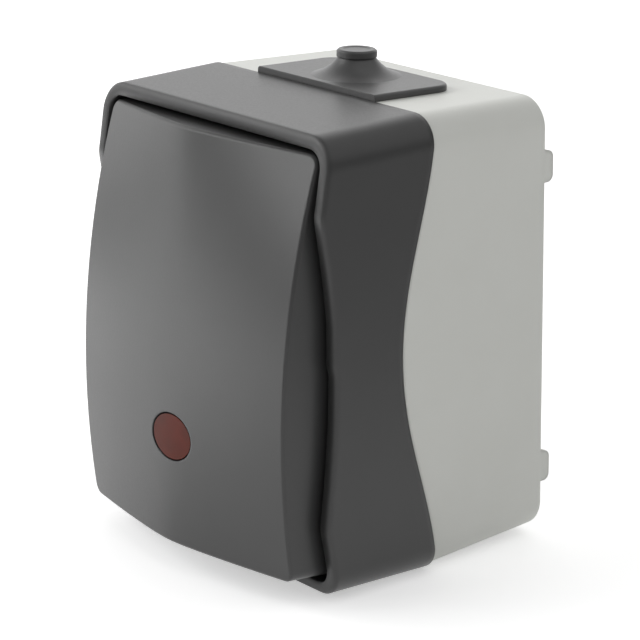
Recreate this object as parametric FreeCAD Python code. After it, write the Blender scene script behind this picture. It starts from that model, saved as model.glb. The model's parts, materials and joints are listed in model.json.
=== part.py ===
import FreeCAD, Part
import os
from math import atan, cos, degrees, pi, radians, sin, sqrt

V = FreeCAD.Vector
x_axis = V(1, 0, 0)
y_axis = V(0, 1, 0)
z_axis = V(0, 0, 1)

# Millimetres. The wall is the plane y = 0, the front faces -Y and +Z is up.
half_width = 33.0
half_height = 41.5
corner_r = 5.5
over = 6.0
bond = 0.5
fit_gap = 0.1

# Back box: drafted, on four feet, with a tongue inside its waisted front edge.
standoff = 1.6
base_taper = (1.8, 1.15)
base_draft = (0.0478, 0.0356)
base_wall = 2.2
back_wall = 2.4
base_edge = 1.0
seam_end = (28.7, 29.0)
seam_waist = 36.4
tongue_len = 1.9
tongue_t = 1.05
foot = (9.0, 5.8)
foot_inset = (0.1, 13.4)
foot_edge = 1.3
fix_pitch = 60.0
fix_r = 2.25
fix_boss = (5.0, 3.0)
rib_t = 1.6

# Front cover: its rim rises to a horn on each side, above and below the waist.
# Pairs of depths are for the lower and the upper half.
cover_draft = (0.0143, 0.0268)
cover_wall = 2.0
lip = 2.2
rim_mid = 51.0
rim_horn = (53.15, 53.7)
rim_end = (50.7, 51.35)
rim_fall = 0.17
horn_inset = 14.0
rim_bevel = 0.4
seam_gap = 0.12
gasket_t = 1.0
rabbet_wall = 0.95
floor_t = 2.0

# Rocker: a pillow front over a skirt, drawn level and then rocked to the photo's pose.
rock_deg = 5.37
pivot_depth = 48.2
crown_depth = 60.85
crown_side = 1.2
crown_end = 0.7
crown_corner = 3.8
ridge_soft = 0.14
rocker_gap = (0.98, 1.35)
rocker_corner = 2.0
rocker_t = 2.0
rocker_edge = 0.35
skirt_lap = 1.6
skirt_room = 1.1
lens_half = (5.75, 4.3)
lens_gap = 0.3
lamp_inset = 2.0
lens_flange = 0.9
lens_depth = 3.2

# Cable grommet in a slot of the top wall.
entry_half = 12.5
entry_corner = 3.0
flange_half = 16.6
flange_len = 19.0
flange_t = 1.2
flange_corner = 4.5
flange_edge = 0.6
flange_lap = 3.3
flange_set = 0.2
nipple_foot = 8.2
nipple_neck = 3.4
nipple_neck_z = 4.45
cap_r = 3.65
cap_z = 5.9
nipple_bore = 2.5

# Switch insert on two posts, its lugs standing through a window in the cover's floor.
seal_t = 1.0
mech_inset = (12.0, 17.0)
mech_depth = 22.0
lid_t = 1.8
ear_drop = 3.0
ear_t = 2.5
ear_half = 5.0
mech_corner = 2.0
peg_r = 1.25
peg_len = 2.6
peg_inset = (4.0, 3.5)
collar_inset = (2.5, 2.7)
collar_len = 4.5
collar_wall = 1.8
lug_t = 3.3
lug_r = 3.6
trunnion_r = 2.0
running_gap = 0.05
clip_gap = 0.5
cradle_t = 3.0
cradle_lift = 4.8
hub_half = 4.4
stem_r = 3.6
plunger_r = 2.4
plunger_len = 8.0
plunger_hold = 3.3
plunger_reach = 19.55
spring_wire = 0.28
spring_len = 9.75
spring_turns = 6
spring_preload = 0.62

# Contacts and terminals inside the insert.
chamber_gap = (3.5, 2.0)
front_wall = 2.5
arm_drop = 12.2
arm_width = 3.0
arm_t = 1.2
arm_deg = 5.0
contact_inset = 1.5
terminal_gap = 1.0
contact_r = 1.6
contact_h = 0.9
contact_gap = 0.15
strip_drop = 2.9
strip_t = 0.8
strip_half = 2.5
pocket_half = 4.0
pocket_top = 5.0
load_inset = (10.0, 7.5)
common_inset = 6.5
clamp_half = 3.6
clamp_wall = 0.8
clamp_len = 6.0
clamp_h = 9.4
wire_r = 1.9
lamp_r = 2.2
lamp_wall = 0.4
lamp_seat = 2.5
holder_wall = 0.8
electrode_r = 0.35
electrode_gap = 3.0
lamp_tip = 53.5

# Fasteners: plain shanks in plain pilot holes.
screw_r = 1.45
thread_gap = 0.05
clear_gap = 0.3
post_r = 3.6
post_clear = 0.4
cover_post_inset = (7.5, 6.5)
cover_screw = (3.2, 14.0)
insert_screw = (2.8, 13.0)
terminal_screw = (2.2, 8.0)

base_back = -standoff
back_inside = base_back - back_wall
seam_y = -seam_end[1]
pivot_y = -pivot_depth
pilot_r = screw_r + thread_gap
clear_r = screw_r + clear_gap


def base_section(y, inset):
    depth = base_back - y
    hx = half_width - base_taper[0] + base_draft[0] * depth - inset
    hz = half_height - base_taper[1] + base_draft[1] * depth - inset
    return hx, hz


def cover_section(y, inset):
    depth = seam_y - y
    return half_width - cover_draft[0] * depth - inset, half_height - cover_draft[1] * depth - inset


mouth = cover_section(-rim_end[1], lip)
rocker_half = (mouth[0] - rocker_gap[0], mouth[1] - rocker_gap[1])
skirt_y = pivot_y + skirt_lap
floor_front = skirt_y + rocker_half[1] * sin(radians(rock_deg)) + skirt_room
floor_rear = floor_front + floor_t
mech_front = floor_rear + seal_t
mech_rear = mech_front + mech_depth
mech_half = (half_width - mech_inset[0], half_height - mech_inset[1])
collar_half = (mech_half[0] - collar_inset[0], mech_half[1] - collar_inset[1])
collar_front = mech_front - collar_len
ear_front = mech_front + ear_drop
ear_rear = ear_front + ear_t
post_x = mech_half[0] + post_r + post_clear
cover_post = (rocker_half[0] - cover_post_inset[0], rocker_half[1] - cover_post_inset[1])
lug_out = collar_half[0] - collar_wall
lug_in = lug_out - lug_t
cradle_half = lug_in - 4 * fit_gap
cradle_front = pivot_y - cradle_lift
lens_z = collar_wall + lamp_inset - collar_half[1]
cradle_len = -lens_z - lens_half[1] - lens_flange - rib_t - clip_gap
plunger_tip = pivot_y + plunger_reach
arm_y = mech_front + arm_drop
strip_front = arm_y + strip_drop
strip_rear = strip_front + strip_t
pocket_front = mech_front + pocket_top
spring_seat = plunger_tip - plunger_len - spring_len - spring_preload
holder_r = lamp_r + holder_wall
lamp_foot = mech_front - lamp_seat
flange_front = seam_y + flange_set
flange_rear = flange_front + flange_len
entry_rear = flange_rear - flange_lap
terminals = {
    "upper": (load_inset[0] - mech_half[0], mech_half[1] - load_inset[1]),
    "lower": (mech_half[0] - load_inset[0], load_inset[1] - mech_half[1]),
    "common": (mech_half[0] - common_inset, 0.0),
}
contact_z = terminals["upper"][1] - clamp_len / 2 - strip_half - terminal_gap
arm_half = (arm_width, contact_z + contact_inset)
chamber_half = (arm_half[0] + chamber_gap[0], arm_half[1] + chamber_gap[1])
sides = (-1, 1)


def box(x0, x1, y0, y1, z0, z1):
    xs, ys, zs = sorted((x0, x1)), sorted((y0, y1)), sorted((z0, z1))
    return Part.makeBox(xs[1] - xs[0], ys[1] - ys[0], zs[1] - zs[0], V(xs[0], ys[0], zs[0]))


def rod_x(y, z, r, x0, x1):
    return Part.makeCylinder(r, abs(x1 - x0), V(min(x0, x1), y, z), x_axis)


def rod_y(x, z, r, y0, y1):
    return Part.makeCylinder(r, abs(y1 - y0), V(x, min(y0, y1), z), y_axis)


def rod_z(x, y, r, z0, z1):
    return Part.makeCylinder(r, abs(z1 - z0), V(x, y, min(z0, z1)), z_axis)


def fuse(shapes):
    return shapes[0].multiFuse(shapes[1:]).removeSplitter()


def edges_where(shape, test):
    return [e for e in shape.Edges if test(e)]


def runs_along_y(edge):
    return edge.BoundBox.YLength > max(edge.BoundBox.XLength, edge.BoundBox.ZLength)


def drafted(section, inset, y_rear, y_front):
    """Drafted block with rounded corners between two depths."""
    rear = section(y_rear, inset)
    front = section(y_front, inset)
    block = Part.makeWedge(-front[0], y_front, -front[1], -rear[1], -rear[0],
                           front[0], y_rear, front[1], rear[1], rear[0])
    return block.makeFillet(max(corner_r - inset, 1.0), edges_where(block, runs_along_y))


def rounded_slab(hx, hz, r, y0, y1):
    block = box(-hx, hx, y0, y1, -hz, hz)
    corners = edges_where(block, lambda e: e.BoundBox.XLength + e.BoundBox.ZLength < 1e-3)
    return block.makeFillet(r, corners)


def seam_depth(z):
    t = min(abs(z) / half_height, 1.0)
    end = seam_end[z > 0]
    return end + (seam_waist - end) * cos(t * pi / 2) ** 1.8


def rim_depth(z):
    """The rim bows out to a horn and falls off straight; the lower half stands a little further back."""
    horn, end = rim_horn[z > 0], rim_end[z > 0]
    horn_z = half_height - horn_inset
    rise = rim_mid + (horn - rim_mid) * (1 - cos(abs(z) / horn_z * pi / 2))
    fall = horn - rim_fall * (abs(z) - horn_z)
    return max(end, min(rise, fall))


def behind(depth, forward):
    """Everything from the wall to a waved side profile, moved forward by a distance."""
    count = 32
    reach = half_height * 1.2
    heights = [reach * i / count for i in range(-count, count + 1)]
    wave = Part.BSplineCurve()
    wave.interpolate([V(-2 * half_width, -depth(z) - forward, z) for z in heights])
    edge = wave.toShape()
    low, high = edge.Vertexes[0].Point, edge.Vertexes[-1].Point
    outline = Part.makePolygon([high, V(high.x, over, high.z), V(low.x, over, low.z), low])
    return Part.Face(Part.Wire([edge] + outline.Edges)).extrude(V(4 * half_width, 0, 0))


def prism_x(points, hx):
    face = Part.Face(Part.makePolygon([V(-hx, y, z) for y, z in points + points[:1]]))
    return face.extrude(V(2 * hx, 0, 0))


def turned_y(points, x, z):
    """Solid of revolution about Y from (radius, y) points."""
    ring = [V(r, y, 0) for r, y in points]
    body = Part.Face(Part.makePolygon(ring + ring[:1])).revolve(V(0, 0, 0), y_axis, 360)
    body.translate(V(x, 0, z))
    return body


def tilted(shape, y, angle):
    turned = shape.copy()
    turned.rotate(V(0, y, 0), x_axis, angle)
    return turned


def screw(x, z, head_r, length, seat):
    head_h = 0.7 * head_r
    top = seat - head_h
    tip = seat + length
    outline = [(0, top), (0.65 * head_r, top), (head_r, top + 0.45 * head_h), (head_r, seat),
               (screw_r, seat), (screw_r, tip - screw_r), (0.3 * screw_r, tip), (0, tip)]
    body = turned_y(outline, x, z)
    arm, slot = 0.6 * head_r, 0.12 * head_r
    for hx, hz in ((arm, slot), (slot, arm)):
        body = body.cut(box(x - hx, x + hx, top - over, top + 0.55 * head_h, z - hz, z + hz))
    return body


def make_base():
    outer = drafted(base_section, 0, base_back, -seam_waist - over)
    rear = edges_where(outer, lambda e: e.BoundBox.YMin > base_back - 1e-3)
    outer = outer.makeFillet(base_edge, rear)
    hollow = drafted(base_section, base_wall, back_inside, -seam_waist - 2 * over)
    shell = outer.cut(hollow).common(behind(seam_depth, 0))
    tongue = drafted(base_section, base_wall - tongue_t, seam_y + over, -seam_waist - over)
    tongue = tongue.cut(hollow).common(behind(seam_depth, tongue_len))
    adds = [shell, tongue]
    rear_half = base_section(base_back, 0)
    for s in sides:
        x_out = s * (rear_half[0] - foot_inset[0])
        for t in sides:
            z_mid = t * (half_height - foot_inset[1])
            pad = box(x_out, x_out - s * foot[0], base_back - base_edge - bond, 0,
                      z_mid - foot[1] / 2, z_mid + foot[1] / 2)
            ends = edges_where(pad, lambda e: e.BoundBox.YMin > -1e-3 and e.BoundBox.XLength > bond)
            adds.append(pad.makeFillet(foot_edge, ends))
        wall_x = base_section(back_inside, base_wall)[0] + bond
        root = back_inside + bond
        adds.append(rod_y(s * post_x, 0, post_r, ear_rear, root))
        adds.append(box(s * post_x, s * wall_x, ear_rear + ear_t, root, -rib_t / 2, rib_t / 2))
        adds.append(rod_y(-s * cover_post[0], s * cover_post[1], post_r, floor_rear + fit_gap, root))
        adds.append(rod_y(0, s * fix_pitch / 2, fix_boss[0], back_inside - fix_boss[1], 0))
    body = fuse(adds)
    for s in sides:
        body = body.cut(rod_y(0, s * fix_pitch / 2, fix_r, back_inside - over, over))
        body = body.cut(rod_y(s * post_x, 0, pilot_r, ear_rear - over, mech_rear))
        body = body.cut(rod_y(-s * cover_post[0], s * cover_post[1], pilot_r, floor_rear - over, mech_rear))
    slot_z = half_height - 1.3 * over, half_height + over
    slot = box(-entry_half, entry_half, -seam_waist - over, entry_rear, *slot_z)
    ends = edges_where(slot, lambda e: e.BoundBox.ZLength > over and e.CenterOfMass.y > entry_rear - 1e-3)
    return body.cut(slot.makeFillet(entry_corner, ends))


def make_cover():
    block = drafted(cover_section, 0, seam_y + over, -max(rim_horn) - over).common(behind(rim_depth, 0))
    rim = edges_where(block, lambda e: e.BoundBox.YMax < bond - min(rim_end))
    block = block.makeChamfer(rim_bevel, rim)
    block = block.cut(drafted(cover_section, cover_wall, seam_y + 2 * over, floor_rear))
    block = block.cut(drafted(cover_section, lip, floor_front, -max(rim_horn) - 2 * over))
    block = block.cut(behind(seam_depth, seam_gap))
    rabbet = drafted(cover_section, rabbet_wall, seam_y + 2 * over, floor_rear - floor_t / 2)
    block = block.cut(rabbet.common(behind(seam_depth, tongue_len + gasket_t)))
    window = [h + 4 * fit_gap for h in collar_half]
    block = block.cut(rounded_slab(*window, corner_r / 2, floor_front - over, floor_rear + over))
    for s in sides:
        hole = rod_y(-s * cover_post[0], s * cover_post[1], clear_r, floor_front - over, floor_rear + over)
        block = block.cut(hole)
    return block


def make_gasket():
    ring = drafted(cover_section, rabbet_wall + fit_gap, seam_y + over, -seam_waist - over)
    ring = ring.cut(drafted(cover_section, cover_wall + fit_gap, seam_y + 2 * over, -seam_waist - 2 * over))
    return ring.common(behind(seam_depth, tongue_len + gasket_t)).cut(behind(seam_depth, tongue_len))


def crown_y(u, v):
    """Front of the level rocker; u and v run from -1 to 1 over its width and height."""
    tent = (sqrt(u * u + ridge_soft ** 2) - ridge_soft) / (sqrt(1 + ridge_soft ** 2) - ridge_soft)
    return -crown_depth + crown_side * u * u + crown_end * v * v + crown_corner * v * v * tent


def under_crown(shift):
    """Everything behind the pillow front, moved back by a distance."""
    half_u = [0.1, 0.22, 0.4, 0.6, 0.8, 1.0, 1.12]
    half_v = [0.27, 0.54, 0.78, 1.0, 1.12]
    us = [-u for u in reversed(half_u)] + [0] + half_u
    vs = [-v for v in reversed(half_v)] + [0] + half_v
    grid = [[V(u * rocker_half[0], crown_y(u, v) + shift, v * rocker_half[1]) for v in vs] for u in us]
    front = Part.BSplineSurface()
    front.interpolate(grid)
    return front.toShape().extrude(V(0, crown_depth - pivot_depth + 2 * over, 0))


def lens_oval(grow):
    rx, rz = lens_half[0] + grow, lens_half[1] + grow
    y0 = -crown_depth - over
    ring = Part.Ellipse(V(rx, y0, lens_z), V(0, y0, lens_z + rz), V(0, y0, lens_z))
    return Part.Face(Part.Wire(ring.toShape())).extrude(V(0, over + lens_depth, 0))


def make_rocker():
    hx, hz = rocker_half
    y0 = -crown_depth - over
    outer = rounded_slab(hx, hz, rocker_corner, y0, skirt_y).common(under_crown(0))
    brow = edges_where(outer, lambda e: e.BoundBox.YMax < skirt_y - bond and e.BoundBox.YMin < -rim_mid and
                       max(e.BoundBox.XLength, e.BoundBox.ZLength) > bond)
    outer = outer.makeChamfer(rocker_edge, brow)
    inside = rounded_slab(hx - rocker_t, hz - rocker_t, rocker_t / 2, y0, skirt_y + over)
    adds = [outer.cut(inside.common(under_crown(rocker_t)))]
    room = under_crown(rocker_t - bond)
    rib_x = 0.6 * cradle_half
    catch = cradle_front + cradle_t + fit_gap
    for s in sides:
        rib = box(s * rib_x, s * (rib_x + rib_t), y0, cradle_front, 1 - cradle_len, cradle_len - 1)
        adds.append(rib.common(room))
        near, far = s * (cradle_len + fit_gap), s * (cradle_len + fit_gap + rib_t)
        adds.append(box(-hub_half, hub_half, y0, catch + rib_t, near, far).common(room))
        adds.append(box(-hub_half, hub_half, catch, catch + rib_t, near - s * rib_t / 2, far))
    return fuse(adds).cut(lens_oval(0))


def make_lens():
    window = lens_oval(-lens_gap).common(under_crown(fit_gap))
    flange = lens_oval(lens_flange).common(under_crown(rocker_t))
    return fuse([window, flange])


def make_grommet():
    mid = (flange_front + flange_rear) / 2
    plate = box(-flange_half, flange_half, flange_front - mid, flange_rear - mid, 0, flange_t)
    upright = edges_where(plate, lambda e: e.BoundBox.ZLength > bond and e.CenterOfMass.y > 0)
    plate = plate.makeFillet(flange_corner, upright)
    front = flange_front - mid + bond
    top = edges_where(plate, lambda e: e.BoundBox.ZMin > flange_t - 1e-3 and e.CenterOfMass.y > front)
    plate = plate.makeFillet(flange_edge, top)
    neck_y0, neck_y1 = seam_y + 2 * fit_gap - mid, entry_rear - 2 * fit_gap - mid
    neck_half = entry_half - 1.5 * fit_gap
    neck = box(-neck_half, neck_half, neck_y0, neck_y1, -base_wall - fit_gap, bond)
    ends = edges_where(neck, lambda e: e.BoundBox.ZLength > bond and e.CenterOfMass.y > 0)
    neck = neck.makeFillet(entry_corner, ends)
    tail_z = -base_wall - fit_gap
    tail_half = entry_half + rib_t
    tail = box(-tail_half, tail_half, neck_y0, neck_y1 + rib_t, tail_z - flange_t, tail_z)
    foot_at, neck_at = V(nipple_foot, 0, flange_t), V(nipple_neck, 0, nipple_neck_z)
    bend = (foot_at + neck_at) * 0.5 + V(-0.45, 0, -0.35)
    flare = Part.Arc(foot_at, bend, neck_at).toShape()
    dish = 0.15
    cap = [neck_at, V(cap_r, 0, nipple_neck_z + fit_gap), V(cap_r, 0, cap_z - 3 * fit_gap),
           V(cap_r - 0.35, 0, cap_z), V(0.72 * cap_r, 0, cap_z), V(0.62 * cap_r, 0, cap_z - dish),
           V(0, 0, cap_z - dish), V(0, 0, 0), V(nipple_foot, 0, bond), foot_at]
    nipple = Part.Face(Part.Wire([flare] + Part.makePolygon(cap).Edges)).revolve(V(0, 0, 0), z_axis, 360)
    body = fuse([plate, neck, tail, nipple])
    body = body.cut(rod_z(0, 0, nipple_bore, -over, cap_z - 1))
    throat_at = V(0, 0, tail_z - flange_t - fit_gap)
    throat_len = base_wall + nipple_neck_z - 1
    body = body.cut(Part.makeCone(nipple_foot - 1, nipple_bore, throat_len, throat_at, z_axis))
    body.rotate(V(0, 0, 0), x_axis, -degrees(atan(base_draft[1])))
    body.translate(V(0, mid, base_section(mid, 0)[1] + fit_gap / 5))
    return body


def terminal_room(name):
    """Pocket, strip channel, screw access and wire entry of one terminal."""
    x, z = terminals[name]
    open_y = mech_rear + over
    channel_y = strip_front - strip_drop
    entry_y = strip_front - strip_half
    p = pocket_half
    rooms = [box(x - p, x + p, pocket_front, open_y, z - p, z + p)]
    rooms.append(rod_y(x, z, p * 0.6, mech_front - over, pocket_front + 1))
    if name == "common":
        rooms.append(box(0, x, channel_y, open_y, -strip_half - 1, strip_half + 1))
        rooms.append(rod_x(entry_y, 0, wire_r, x, mech_half[0] + over))
    else:
        s = 1 if z > 0 else -1
        far = max(contact_z + p, abs(z))
        rooms.append(box(x - s * p, 0, channel_y, open_y, s * (contact_z - p), s * far))
        rooms.append(rod_z(x, entry_y, wire_r, z, s * (mech_half[1] + over)))
    return rooms


def make_mechanism():
    block = rounded_slab(*mech_half, mech_corner, mech_front, mech_rear)
    collar = rounded_slab(*collar_half, mech_corner, collar_front, mech_front + bond)
    inner = [h - collar_wall for h in collar_half]
    collar = collar.cut(rounded_slab(*inner, mech_corner / 2, collar_front - over, mech_front + over))
    adds = [block, collar]
    for s in sides:
        adds.append(box(s * lug_in, s * lug_out, pivot_y, mech_front + bond, -lug_r, lug_r))
        adds.append(rod_x(pivot_y, 0, lug_r, s * lug_in, s * lug_out))
        ear_x = s * (mech_half[0] - bond), s * (post_x + post_r)
        adds.append(box(*ear_x, ear_front, ear_rear, -ear_half, ear_half))
    block = fuse(adds)
    hx, hz = chamber_half
    cuts = [box(-hx, hx, mech_front + front_wall, mech_rear + over, -hz, hz)]
    cuts.append(box(-stem_r - rib_t, stem_r + rib_t, collar_front, mech_front + front_wall + bond,
                    -stem_r - 2 * rib_t, stem_r + 2 * rib_t))
    for name in terminals:
        cuts += terminal_room(name)
    for s in sides:
        cuts.append(rod_y(s * post_x, 0, clear_r, ear_front - over, ear_rear + over))
        peg_end = mech_rear - peg_len - 4 * fit_gap
        cuts.append(rod_y(*peg_at(s), peg_r + running_gap, peg_end, mech_rear + over))
    cuts.append(rod_x(pivot_y, 0, trunnion_r + running_gap, -mech_half[0], mech_half[0]))
    cuts.append(rod_y(0, lens_z, holder_r + running_gap, mech_front - over, mech_front + front_wall))
    for cut in cuts:
        block = block.cut(cut)
    return block


def peg_at(s):
    return s * (mech_half[0] - peg_inset[0]), s * (mech_half[1] - peg_inset[1])


def make_lid():
    lid = rounded_slab(*mech_half, mech_corner, mech_rear, mech_rear + lid_t)
    pegs = [rod_y(*peg_at(s), peg_r, mech_rear - peg_len, mech_rear + bond) for s in sides]
    return fuse([lid] + pegs)


def make_seal():
    outer = [h - 4 * fit_gap for h in mech_half]
    inner = [h + fit_gap for h in collar_half]
    ring = rounded_slab(*outer, mech_corner, floor_rear, mech_front)
    return ring.cut(rounded_slab(*inner, mech_corner, floor_rear - over, mech_front + over))


def make_cradle():
    plate = box(-cradle_half, cradle_half, cradle_front, cradle_front + cradle_t, -cradle_len, cradle_len)
    hub_y = cradle_front + cradle_t - bond, pivot_y + trunnion_r + bond
    hub = box(-cradle_half, cradle_half, *hub_y, -hub_half, hub_half)
    pins = rod_x(pivot_y, 0, trunnion_r, fit_gap - lug_out, lug_out - fit_gap)
    stem = rod_y(0, 0, stem_r, pivot_y + trunnion_r - bond, plunger_tip - plunger_len + plunger_hold)
    body = fuse([plate, hub, pins, stem])
    return body.cut(rod_y(0, 0, plunger_r + running_gap, spring_seat, plunger_tip))


def make_plunger():
    nose = 0.6 * plunger_r
    rear = plunger_tip - plunger_len
    outline = [(0, rear), (plunger_r, rear), (plunger_r, plunger_tip - nose), (0.4 * plunger_r, plunger_tip),
               (0, plunger_tip)]
    return turned_y(outline, 0, 0)


def make_spring():
    coil_r = plunger_r - 2 * spring_wire - fit_gap
    rise = spring_len - 2 * spring_wire
    helix = Part.makeHelix(rise / spring_turns, rise, coil_r)
    turns = [i * pi / 3 for i in range(7)]
    section = [V(coil_r + spring_wire * cos(a), 0, spring_wire * sin(a)) for a in turns]
    coil = Part.Wire(helix.Edges).makePipeShell([Part.makePolygon(section)], True, True)
    coil.rotate(V(0, 0, 0), x_axis, -90)
    coil.translate(V(0, spring_seat + spring_wire, 0))
    return coil


def make_arm():
    hx, hz = arm_half
    strip = box(-hx, hx, arm_y - arm_t, arm_y, -hz, hz)
    notch = 0.4 * arm_t
    groove = [(arm_y + fit_gap, -2 * notch), (arm_y + fit_gap, 2 * notch), (arm_y - notch, 0)]
    return strip.cut(prism_x(groove, hx + 1))


def make_moving_contacts():
    return Part.makeCompound([rod_y(0, s * contact_z, contact_r, arm_y, arm_y + contact_h) for s in sides])


def make_fixed_contacts():
    lean = radians(arm_deg)
    face = arm_y + contact_h * cos(lean) + (contact_z + contact_r) * sin(lean) + contact_gap
    return Part.makeCompound([rod_y(0, s * contact_z, contact_r, face, strip_front) for s in sides])


def make_load_strip(name):
    x, z = terminals[name]
    s = 1 if z > 0 else -1
    w = s * strip_half
    end_z = z + 1.25 * w
    run = [(w, s * contact_z - w), (x - w, s * contact_z - w), (x - w, end_z), (x + w, end_z),
           (x + w, s * contact_z + w), (w, s * contact_z + w)]
    face = Part.Face(Part.makePolygon([V(px, strip_front, pz) for px, pz in run + run[:1]]))
    return face.extrude(V(0, strip_t, 0))


def make_common_strip():
    end_x = terminals["common"][0] + 1.25 * strip_half
    plate = box(-arm_half[0], end_x, strip_front, strip_rear, -strip_half, strip_half)
    edge_y = arm_y - 0.2 * arm_t
    root = strip_front + strip_t / 4
    return fuse([plate, prism_x([(root, -1.4), (root, 1.4), (edge_y, 0)], arm_half[0] - fit_gap)])


def make_clamps():
    y1 = strip_rear + 0.5 + clamp_wall
    y0 = y1 - clamp_h
    clamps = []
    for name, (x, z) in terminals.items():
        tube = box(-clamp_half, clamp_half, y0, y1, -clamp_len / 2, clamp_len / 2)
        inside = clamp_half - clamp_wall
        tube = tube.cut(box(-inside, inside, y0 + 2 * clamp_wall, y1 - clamp_wall, -clamp_len, clamp_len))
        tube = tube.cut(rod_y(0, 0, pilot_r, y0 - over, y0 + 3 * clamp_wall))
        if name == "common":
            tube.rotate(V(0, 0, 0), y_axis, 90)
        tube.translate(V(x, 0, z))
        clamps.append(tube)
    return Part.makeCompound(clamps)


def make_lamp():
    glass = bulb(lamp_r, -lamp_tip, lamp_foot)
    return glass.cut(bulb(lamp_r - lamp_wall, lamp_wall - lamp_tip, lamp_foot - 2 * lamp_wall))


def bulb(r, tip, foot_y):
    outline = [(0, tip), (0.5 * r, tip + 0.15 * r), (r, tip + r), (r, foot_y), (0, foot_y)]
    return turned_y(outline, 0, lens_z)


def make_electrodes():
    x = 0.36 * lamp_r
    y0, y1 = electrode_gap - lamp_tip, lamp_foot - 2.5 * lamp_wall
    return Part.makeCompound([rod_y(s * x, lens_z, electrode_r, y0, y1) for s in sides])


def make_lamp_holder():
    cup = rod_y(0, lens_z, holder_r, lamp_foot - lamp_seat, mech_front + front_wall)
    return cup.cut(rod_y(0, lens_z, lamp_r + running_gap, lamp_foot - over, lamp_foot))


def rocked(shape):
    return tilted(shape, pivot_y, -rock_deg)


def armed(shape):
    return tilted(shape, arm_y, arm_deg)


cover_screws = [screw(-s * cover_post[0], s * cover_post[1], *cover_screw, floor_front) for s in sides]
insert_screws = [screw(s * post_x, 0, *insert_screw, ear_front) for s in sides]
terminal_screws = [screw(x, z, *terminal_screw, pocket_front) for x, z in terminals.values()]
nodes = {
    "base_box": make_base(),
    "front_cover": make_cover(),
    "cover_gasket": make_gasket(),
    "cable_grommet": make_grommet(),
    "rocker": rocked(make_rocker()),
    "indicator_lens": rocked(make_lens()),
    "toggle_cradle": rocked(make_cradle()),
    "plunger": rocked(make_plunger()),
    "plunger_spring": rocked(make_spring()),
    "mechanism_body": make_mechanism(),
    "mechanism_lid": make_lid(),
    "collar_seal": make_seal(),
    "contact_arm": armed(make_arm()),
    "moving_contacts": armed(make_moving_contacts()),
    "fixed_contacts": make_fixed_contacts(),
    "upper_terminal": make_load_strip("upper"),
    "lower_terminal": make_load_strip("lower"),
    "common_terminal": make_common_strip(),
    "terminal_clamps": make_clamps(),
    "lamp_holder": make_lamp_holder(),
    "neon_lamp": make_lamp(),
    "lamp_electrodes": make_electrodes(),
    "cover_screws": Part.makeCompound(cover_screws),
    "mechanism_screws": Part.makeCompound(insert_screws),
    "terminal_screws": Part.makeCompound(terminal_screws),
}

os.makedirs("parts", exist_ok=True)
for name, shape in nodes.items():
    shape.exportStep("parts/" + name + ".step")
    print(name, shape.isValid(), len(shape.Solids), round(shape.Volume, 1))
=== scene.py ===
import bpy
import json
import math
from mathutils import Matrix, Vector


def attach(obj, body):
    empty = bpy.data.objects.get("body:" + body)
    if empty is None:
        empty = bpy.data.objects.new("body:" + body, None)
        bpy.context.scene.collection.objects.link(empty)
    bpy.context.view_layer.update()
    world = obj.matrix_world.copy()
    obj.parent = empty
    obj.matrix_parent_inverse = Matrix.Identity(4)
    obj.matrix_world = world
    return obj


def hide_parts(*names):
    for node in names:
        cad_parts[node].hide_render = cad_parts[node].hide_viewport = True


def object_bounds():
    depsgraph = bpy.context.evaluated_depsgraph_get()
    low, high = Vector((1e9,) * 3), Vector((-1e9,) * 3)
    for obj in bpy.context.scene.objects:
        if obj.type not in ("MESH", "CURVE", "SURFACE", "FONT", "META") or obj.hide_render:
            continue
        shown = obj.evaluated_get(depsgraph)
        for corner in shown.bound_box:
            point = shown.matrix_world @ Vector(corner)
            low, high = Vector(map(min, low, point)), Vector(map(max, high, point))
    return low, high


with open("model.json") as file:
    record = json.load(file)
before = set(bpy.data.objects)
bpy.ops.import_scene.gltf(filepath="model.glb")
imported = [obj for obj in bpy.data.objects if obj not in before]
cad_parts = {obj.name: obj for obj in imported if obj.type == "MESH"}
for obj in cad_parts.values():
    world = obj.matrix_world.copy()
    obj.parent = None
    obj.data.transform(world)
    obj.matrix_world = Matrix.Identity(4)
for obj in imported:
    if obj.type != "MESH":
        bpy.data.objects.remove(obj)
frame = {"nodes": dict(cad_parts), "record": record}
cadBox = [list(corner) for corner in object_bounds()]
scene = bpy.context.scene
mm = 0.001
white = (1, 1, 1, 1)


# sRGB hex to linear light
def hexColour(text):
    channels = [int(text[i:i + 2], 16) / 255 for i in (1, 3, 5)]
    linear = [c / 12.92 if c <= 0.04045 else ((c + 0.055) / 1.055) ** 2.4 for c in channels]
    return (*linear, 1.0)


# A Mix node's sockets share names, so its inputs go by number: 0 is the factor, 2 and 3 are its
# two numbers, 6 and 7 its two colours.
def addNode(tree, kind, settings=None, inputs=None):
    node = tree.nodes.new(kind)
    for name, value in (settings or {}).items():
        setattr(node, name, value)
    for name, value in (inputs or {}).items():
        if isinstance(value, bpy.types.NodeSocket):
            tree.links.new(value, node.inputs[name])
        else:
            node.inputs[name].default_value = value
    return node


def startMaterial(name):
    mat = bpy.data.materials.new(name)
    mat.use_nodes = True
    mat.node_tree.nodes.clear()
    return mat, mat.node_tree


# Moulded plastics and rubbers: a fine spark-eroded grain breaks up the gloss, a broad cloud
# shifts the colour a little, and edges catch light as a moulding's small radius does.
moulding = {
    "grainDetail": 2.0, "grainMix": 0.6, "grainDepth": 0.04 * mm,
    "cloudDetail": 3.0, "cloudMix": 0.55,
    "roughSwing": 0.06, "edgeSamples": 4,
}


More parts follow.
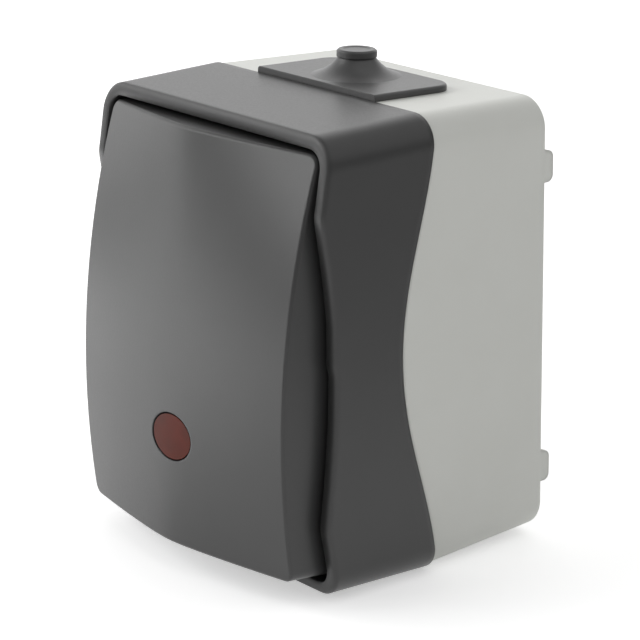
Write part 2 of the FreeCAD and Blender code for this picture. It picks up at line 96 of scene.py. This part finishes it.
def mouldedSurface(name, look, m):
    mat, tree = startMaterial(name)
    place = addNode(tree, "ShaderNodeTexCoord").outputs["Object"]
    grain = addNode(tree, "ShaderNodeTexNoise", None,
                    {"Vector": place, "Scale": 1 / (look["grainMm"] * mm),
                     "Detail": m["grainDetail"], "Roughness": m["grainMix"]})
    cloud = addNode(tree, "ShaderNodeTexNoise", None,
                    {"Vector": place, "Scale": 1 / (look["cloudMm"] * mm),
                     "Detail": m["cloudDetail"], "Roughness": m["cloudMix"]})
    tint = addNode(tree, "ShaderNodeMix", {"data_type": "RGBA"},
                   {0: cloud.outputs["Fac"], 6: hexColour(look["dark"]), 7: hexColour(look["light"])})
    rough = addNode(tree, "ShaderNodeMapRange", None,
                    {"Value": grain.outputs["Fac"], "To Min": look["rough"] - m["roughSwing"],
                     "To Max": look["rough"] + m["roughSwing"]})
    edge = addNode(tree, "ShaderNodeBevel", {"samples": m["edgeSamples"]},
                   {"Radius": look["edgeMm"] * mm})
    bump = addNode(tree, "ShaderNodeBump", None,
                   {"Strength": look["bump"], "Distance": m["grainDepth"],
                    "Height": grain.outputs["Fac"], "Normal": edge.outputs["Normal"]})
    shader = addNode(tree, "ShaderNodeBsdfPrincipled", None,
                     {"Base Color": tint.outputs[2], "Roughness": rough.outputs["Result"],
                      "IOR": look["ior"], "Normal": bump.outputs["Normal"]})
    addNode(tree, "ShaderNodeOutputMaterial", None, {"Surface": shader.outputs["BSDF"]})
    return mat


# Stamped and turned metal: fine draw lines along one axis spread the highlight.
drawing = {"lineDetail": 3.0, "lineBump": 0.15, "lineDepth": 0.02 * mm, "roughSwing": 0.08}


def drawnMetal(name, look, m):
    mat, tree = startMaterial(name)
    place = addNode(tree, "ShaderNodeTexCoord").outputs["Object"]
    along = addNode(tree, "ShaderNodeMapping", None, {"Vector": place, "Scale": look["stretch"]})
    lines = addNode(tree, "ShaderNodeTexNoise", None,
                    {"Vector": along.outputs["Vector"], "Scale": 1 / (look["lineMm"] * mm),
                     "Detail": m["lineDetail"]})
    tint = addNode(tree, "ShaderNodeMix", {"data_type": "RGBA"},
                   {0: lines.outputs["Fac"], 6: hexColour(look["dark"]), 7: hexColour(look["light"])})
    rough = addNode(tree, "ShaderNodeMapRange", None,
                    {"Value": lines.outputs["Fac"], "To Min": look["rough"] - m["roughSwing"],
                     "To Max": look["rough"] + m["roughSwing"]})
    bump = addNode(tree, "ShaderNodeBump", None,
                   {"Strength": m["lineBump"], "Distance": m["lineDepth"],
                    "Height": lines.outputs["Fac"]})
    shader = addNode(tree, "ShaderNodeBsdfPrincipled", None,
                     {"Base Color": tint.outputs[2], "Roughness": rough.outputs["Result"],
                      "Metallic": 1.0, "Normal": bump.outputs["Normal"]})
    addNode(tree, "ShaderNodeOutputMaterial", None, {"Surface": shader.outputs["BSDF"]})
    return mat


# Tinted clear plastic or glass: smooth, with a faint moulding ripple.
polish = {"rippleDetail": 2.0, "rippleDepth": 0.05 * mm}


def tintedClear(name, look, m):
    mat, tree = startMaterial(name)
    place = addNode(tree, "ShaderNodeTexCoord").outputs["Object"]
    ripple = addNode(tree, "ShaderNodeTexNoise", None,
                     {"Vector": place, "Scale": 1 / (look["rippleMm"] * mm),
                      "Detail": m["rippleDetail"]})
    tint = addNode(tree, "ShaderNodeMix", {"data_type": "RGBA"},
                   {0: ripple.outputs["Fac"], 6: hexColour(look["dark"]), 7: hexColour(look["light"])})
    bump = addNode(tree, "ShaderNodeBump", None,
                   {"Strength": look["bump"], "Distance": m["rippleDepth"],
                    "Height": ripple.outputs["Fac"]})
    shader = addNode(tree, "ShaderNodeBsdfPrincipled", None,
                     {"Base Color": tint.outputs[2], "Roughness": look["rough"], "IOR": look["ior"],
                      "Specular IOR Level": look["gloss"], "Transmission Weight": look["clear"],
                      "Normal": bump.outputs["Normal"]})
    addNode(tree, "ShaderNodeOutputMaterial", None, {"Surface": shader.outputs["BSDF"]})
    return mat


# Grain and draw lines are about twice as coarse as the real ones, so that they show in the render.
# Pale, faintly warm shell with a soft sheen.
greyAsa = mouldedSurface("moulded light grey ASA, satin", {
    "dark": "#DEDFD9", "light": "#E5E6E1", "grainMm": 0.4, "cloudMm": 16, "rough": 0.45,
    "bump": 0.18, "ior": 1.49, "edgeMm": 1.2}, moulding)
# Dark grey shell, satin enough to mirror what is around it as a soft gradient.
anthracite = {
    "dark": "#363636", "light": "#3C3C3C", "grainMm": 0.4, "cloudMm": 14, "rough": 0.35,
    "bump": 0.25, "ior": 1.49, "edgeMm": 0.5}
anthraciteAsa = mouldedSurface("moulded anthracite ASA, satin", anthracite, moulding)
# The same plastic, with light running over the cover's rolled rim.
coverAsa = mouldedSurface("moulded anthracite ASA, satin, soft rim",
                          {**anthracite, "edgeMm": 1.5}, moulding)
# Soft grey, a little paler than the cover, with a dull gloss.
softGrommet = mouldedSurface("moulded grey thermoplastic rubber, satin", {
    "dark": "#484848", "light": "#515151", "grainMm": 0.5, "cloudMm": 7, "rough": 0.38,
    "bump": 0.25, "ior": 1.5, "edgeMm": 0.3}, moulding)
# Dull black, with hardly any highlight.
sealRubber = mouldedSurface("moulded black sealing rubber, matt", {
    "dark": "#1C1C1C", "light": "#262626", "grainMm": 0.5, "cloudMm": 5, "rough": 0.65,
    "bump": 0.3, "ior": 1.5, "edgeMm": 0.15}, moulding)
# Warm white with a hard, even sheen.
insertThermoset = mouldedSurface("moulded white thermoset, satin", {
    "dark": "#DAD8D0", "light": "#E4E2DB", "grainMm": 0.4, "cloudMm": 9, "rough": 0.4,
    "bump": 0.15, "ior": 1.55, "edgeMm": 0.2}, moulding)
# Black, with the same hard sheen.
blackThermoset = mouldedSurface("moulded black thermoset, satin", {
    "dark": "#202020", "light": "#2A2A2A", "grainMm": 0.4, "cloudMm": 8, "rough": 0.4,
    "bump": 0.2, "ior": 1.55, "edgeMm": 0.2}, moulding)
# Unlit, so it shows as a deep brownish red with a smooth face.
redPolycarbonate = tintedClear("polished red polycarbonate, dark tint", {
    "dark": "#461A0B", "light": "#641E0A", "rippleMm": 5, "bump": 0.08, "rough": 0.14,
    "ior": 1.58, "gloss": 0.055, "clear": 0.1}, polish)
# Nearly clear, with the amber cast of a glow lamp.
lampGlass = tintedClear("drawn soda glass, faint amber", {
    "dark": "#F2DCC8", "light": "#F8EADC", "rippleMm": 1.5, "bump": 0.05, "rough": 0.05,
    "ior": 1.5, "gloss": 0.5, "clear": 0.9}, polish)
# Yellow metal with rolling lines along the strip.
stampedBrass = drawnMetal("stamped brass strip", {
    "dark": "#B98F45", "light": "#CDA55C", "lineMm": 0.3, "rough": 0.32,
    "stretch": (1, 1, 0.08)}, drawing)
# Bright white metal, the smoothest of the three.
silverFace = drawnMetal("rolled silver contact face", {
    "dark": "#C9C8C4", "light": "#DAD9D6", "lineMm": 0.25, "rough": 0.28,
    "stretch": (1, 0.1, 1)}, drawing)
# Cool grey metal, with faint lines along the screws.
zincSteel = drawnMetal("zinc-plated turned steel", {
    "dark": "#A3A4A3", "light": "#BBBCBA", "lineMm": 0.25, "rough": 0.35,
    "stretch": (1, 0.1, 1)}, drawing)
print("materials made")

finishes = {
    "light_grey_shell": greyAsa, "anthracite_shell": anthraciteAsa, "red_lens": redPolycarbonate,
    "grey_rubber": softGrommet, "seal_rubber": sealRubber, "insert_plastic": insertThermoset,
    "black_plastic": blackThermoset, "contact_brass": stampedBrass, "contact_silver": silverFace,
    "plated_steel": zincSteel, "lamp_glass": lampGlass,
}
rounded = {"front_cover": coverAsa}  # its rim is rolled over more than the rocker's edges
for piece in frame["record"]["subparts"]:
    mesh = frame["nodes"][piece["node"]].data
    mesh.materials.clear()
    mesh.materials.append(rounded.get(piece["node"], finishes[piece["material_slot"]]))
print("frame dressed")

# Plunger spring of round wire, coiled along its plunger and leaning with the rocker.
coil = {
    "turns": 6.0, "radius": 1.74 * mm, "wire": 0.28 * mm, "length": 9.19 * mm,
    "seat": (0.0, -46.746 * mm, -0.137 * mm),
    "lean": math.radians(-95.37),
    "turnSteps": 28, "wireSides": 10,
}


def coilTree(s):
    tree = bpy.data.node_groups.new("coiledWire", "GeometryNodeTree")
    sockets = {
        "Turns": "NodeSocketFloat", "Radius": "NodeSocketFloat", "Wire": "NodeSocketFloat",
        "Length": "NodeSocketFloat", "Seat": "NodeSocketVector", "Lean": "NodeSocketVector",
        "Finish": "NodeSocketMaterial",
    }
    for name, kind in sockets.items():
        tree.interface.new_socket(name, in_out="INPUT", socket_type=kind)
    tree.interface.new_socket("Geometry", in_out="OUTPUT", socket_type="NodeSocketGeometry")
    given = addNode(tree, "NodeGroupInput").outputs
    path = addNode(tree, "GeometryNodeCurveSpiral", None,
                   {"Resolution": s["turnSteps"], "Rotations": given["Turns"],
                    "Start Radius": given["Radius"], "End Radius": given["Radius"],
                    "Height": given["Length"]})
    ring = addNode(tree, "GeometryNodeCurvePrimitiveCircle", None,
                   {"Resolution": s["wireSides"], "Radius": given["Wire"]})
    wire = addNode(tree, "GeometryNodeCurveToMesh", None,
                   {"Curve": path.outputs["Curve"], "Profile Curve": ring.outputs["Curve"],
                    "Fill Caps": True})
    smooth = addNode(tree, "GeometryNodeSetShadeSmooth", None, {"Geometry": wire.outputs["Mesh"]})
    placed = addNode(tree, "GeometryNodeTransform", None,
                     {"Geometry": smooth.outputs["Geometry"], "Translation": given["Seat"],
                      "Rotation": given["Lean"]})
    whole = addNode(tree, "GeometryNodeRealizeInstances", None,
                    {"Geometry": placed.outputs["Geometry"]})
    dressed = addNode(tree, "GeometryNodeSetMaterial", None,
                      {"Geometry": whole.outputs["Geometry"], "Material": given["Finish"]})
    addNode(tree, "NodeGroupOutput", None, {"Geometry": dressed.outputs["Geometry"]})
    return tree


def makeCoil(s):
    tree = coilTree(s)
    seed = bpy.data.objects.new("coilSeed", bpy.data.meshes.new("coilSeed"))
    scene.collection.objects.link(seed)
    maker = seed.modifiers.new("coiledWire", "NODES")
    maker.node_group = tree
    values = {
        "Turns": s["turns"], "Radius": s["radius"], "Wire": s["wire"], "Length": s["length"],
        "Seat": s["seat"], "Lean": (s["lean"], 0.0, 0.0), "Finish": zincSteel,
    }
    for item in tree.interface.items_tree:
        if item.in_out == "INPUT":
            maker[item.identifier] = values[item.name]
    graph = bpy.context.evaluated_depsgraph_get()
    mesh = bpy.data.meshes.new_from_object(seed.evaluated_get(graph), depsgraph=graph)
    bpy.data.objects.remove(seed)
    spring = bpy.data.objects.new("coiled_spring", mesh)
    scene.collection.objects.link(spring)
    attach(spring, "rocker_set")
    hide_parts("plunger_spring")
    return mesh


print("spring made,", len(makeCoil(coil).polygons), "faces")

# Camera from the photograph's fitted perspective, with its eye in millimetres.
view = {
    "eye": (374.07, -327.25, 146.44),
    "right": (0.6274896, 0.77854681, -0.01103066),
    "up": (-0.22096412, 0.19164031, 0.95626819),
    "focalPx": 2750.0,
    "centrePx": (321.79, 308.365),
    "framePx": 640,
    "sensorMm": 36,
    "clipStart": 0.01,
}


def makeCamera(v):
    right, up = Vector(v["right"]), Vector(v["up"])
    forward = up.cross(right)
    offRight, offUp = [(c - v["framePx"] / 2) / v["focalPx"] for c in v["centrePx"]]
    aim = forward - right * offRight + up * offUp
    back = -aim.normalized()
    right = (right - back * right.dot(back)).normalized()
    up = back.cross(right)
    data = bpy.data.cameras.new("photoCamera")
    data.sensor_width = v["sensorMm"]
    data.lens = v["focalPx"] / v["framePx"] * v["sensorMm"]
    data.clip_start = v["clipStart"]
    cam = bpy.data.objects.new("photoCamera", data)
    place = Matrix((right, up, back)).transposed().to_4x4()
    place.translation = Vector(v["eye"]) * mm
    cam.matrix_world = place
    scene.collection.objects.link(cam)
    scene.camera = cam


makeCamera(view)

# Floor, sky and lamps, in metres and watts.
studio = {
    "aim": (0.0, -0.03, 0.0),
    "whiteGlow": 1.0,
    "floorSize": 3.0,
    "floorColour": "#F6F6F6",
    "floorRough": 0.9,
    "floorGlow": 0.45,
    "floorFade": (0.25, 0.8),
    # painted reflection: a strip of glow painted into the floor under the object, seen only by gloss
    "stripGlow": 0.55,
    "stripAcross": (0.63, 0.78, 0.0),
    "stripMiddle": -0.02,
    "stripFade": (0.08, 0.15),
    # painted pool of light on the floor to the front left, glowing in the floor's material, seen only
    # by gloss
    "poolAt": (-0.24, -0.145),
    "poolReach": (0.08, 0.22),
    "poolGlow": 2.1,
    "skyBright": 1.4,
    "skyDim": 0.2,
    "skySpread": (0.6, 0.97),
    "brightSide": (-0.743, 0.602, 0.292),
    "key": {"size": 0.6, "watts": 3.5, "eye": (-0.6, -0.56, 0.5)},
    "front": {"size": 0.3, "watts": 1.05, "eye": (-0.28, -0.6, 0.2)},
    "left": {"size": 0.4, "watts": 0.75, "eye": (-0.76, -0.27, 0.12)},
    "fill": {"size": 1.2, "watts": 2.4, "eye": (0.4, 0.2, 0.65)},
}


# White card floor. The camera sees it glow up to white with distance, and its own shading keeps
# the shadow. Gloss sees painted light glowing in the floor itself: a strip under the object and a
# pool of light to the front left.
def makeFloor(s):
    half = s["floorSize"] / 2
    low = cadBox[0][2]
    mesh = bpy.data.meshes.new("floor")
    corners = [(-half, -half, low), (half, -half, low), (half, half, low), (-half, half, low)]
    mesh.from_pydata(corners, [], [(0, 1, 2, 3)])
    floor = bpy.data.objects.new("floor", mesh)
    scene.collection.objects.link(floor)
    mat, tree = startMaterial("white card floor with painted glow")
    place = addNode(tree, "ShaderNodeTexCoord").outputs["Object"]
    across = addNode(tree, "ShaderNodeVectorMath", {"operation": "DOT_PRODUCT"},
                     {0: place, 1: s["stripAcross"]})
    offset = addNode(tree, "ShaderNodeMath", {"operation": "SUBTRACT"},
                     {0: across.outputs["Value"], 1: s["stripMiddle"]})
    aside = addNode(tree, "ShaderNodeMath", {"operation": "ABSOLUTE"}, {0: offset.outputs["Value"]})
    # painted glowing strip: emission in a band across the floor, strongest along its middle
    paintedStrip = addNode(tree, "ShaderNodeMapRange", None,
                   {"Value": aside.outputs["Value"], "From Min": s["stripFade"][0],
                    "From Max": s["stripFade"][1], "To Min": s["stripGlow"], "To Max": 0.0})
    reach = addNode(tree, "ShaderNodeVectorMath", {"operation": "DISTANCE"},
                    {0: place, 1: (*s["poolAt"], low)})
    # painted pool of light: emission fading with distance from poolAt
    paintedPool = addNode(tree, "ShaderNodeMapRange", None,
                   {"Value": reach.outputs["Value"], "From Min": s["poolReach"][0],
                    "From Max": s["poolReach"][1], "To Min": s["poolGlow"], "To Max": 0.0})
    both = addNode(tree, "ShaderNodeMath", {"operation": "ADD"},
                   {0: paintedStrip.outputs["Result"], 1: paintedPool.outputs["Result"]})
    path = addNode(tree, "ShaderNodeLightPath").outputs
    mirrored = addNode(tree, "ShaderNodeMath", {"operation": "MAXIMUM"},
                       {0: path["Is Glossy Ray"], 1: path["Is Transmission Ray"]})
    inGloss = addNode(tree, "ShaderNodeMath", {"operation": "MULTIPLY"},
                      {0: mirrored.outputs["Value"], 1: both.outputs["Value"]})
    away = addNode(tree, "ShaderNodeVectorMath", {"operation": "LENGTH"}, {0: place})
    plain = addNode(tree, "ShaderNodeMapRange", None,
                    {"Value": away.outputs["Value"], "From Min": s["floorFade"][0],
                     "From Max": s["floorFade"][1], "To Min": s["floorGlow"],
                     "To Max": s["whiteGlow"]})
    inView = addNode(tree, "ShaderNodeMath", {"operation": "MULTIPLY"},
                     {0: path["Is Camera Ray"], 1: plain.outputs["Result"]})
    glow = addNode(tree, "ShaderNodeMath", {"operation": "ADD"},
                   {0: inGloss.outputs["Value"], 1: inView.outputs["Value"]})
    shader = addNode(tree, "ShaderNodeBsdfPrincipled", None,
                     {"Base Color": hexColour(s["floorColour"]), "Roughness": s["floorRough"],
                      "Emission Color": white, "Emission Strength": glow.outputs["Value"]})
    addNode(tree, "ShaderNodeOutputMaterial", None, {"Surface": shader.outputs["BSDF"]})
    mesh.materials.append(mat)


makeFloor(studio)


# Dim sky with one bright side, behind on the left, that the top faces mirror. The camera sees white.
def makeWorld(s):
    world = bpy.data.worlds.new("studio")
    scene.world = world
    world.use_nodes = True
    tree = world.node_tree
    tree.nodes.clear()
    direction = addNode(tree, "ShaderNodeTexCoord").outputs["Generated"]
    toward = addNode(tree, "ShaderNodeVectorMath", {"operation": "DOT_PRODUCT"},
                     {0: direction, 1: s["brightSide"]})
    fade = addNode(tree, "ShaderNodeMapRange", {"interpolation_type": "SMOOTHSTEP"},
                   {"Value": toward.outputs["Value"], "From Min": s["skySpread"][0],
                    "From Max": s["skySpread"][1], "To Min": s["skyDim"], "To Max": s["skyBright"]})
    seen = addNode(tree, "ShaderNodeLightPath").outputs["Is Camera Ray"]
    level = addNode(tree, "ShaderNodeMix", {"data_type": "FLOAT"},
                    {0: seen, 2: fade.outputs["Result"], 3: s["whiteGlow"]})
    sky = addNode(tree, "ShaderNodeBackground", None,
                  {"Color": white, "Strength": level.outputs[0]})
    addNode(tree, "ShaderNodeOutputWorld", None, {"Surface": sky.outputs["Background"]})


makeWorld(studio)


def softbox(name, s, aim):
    data = bpy.data.lights.new(name, "AREA")
    data.shape = "DISK"
    data.size = s["size"]
    data.energy = s["watts"]
    lamp = bpy.data.objects.new(name, data)
    lamp.location = s["eye"]
    toward = Vector(aim) - Vector(s["eye"])
    lamp.rotation_euler = toward.to_track_quat("-Z", "Y").to_euler()
    scene.collection.objects.link(lamp)


for lampName in ("key", "front", "left", "fill"):
    softbox(lampName, studio[lampName], studio["aim"])
print("camera, floor and light made")

scene.view_settings.view_transform = "Standard"
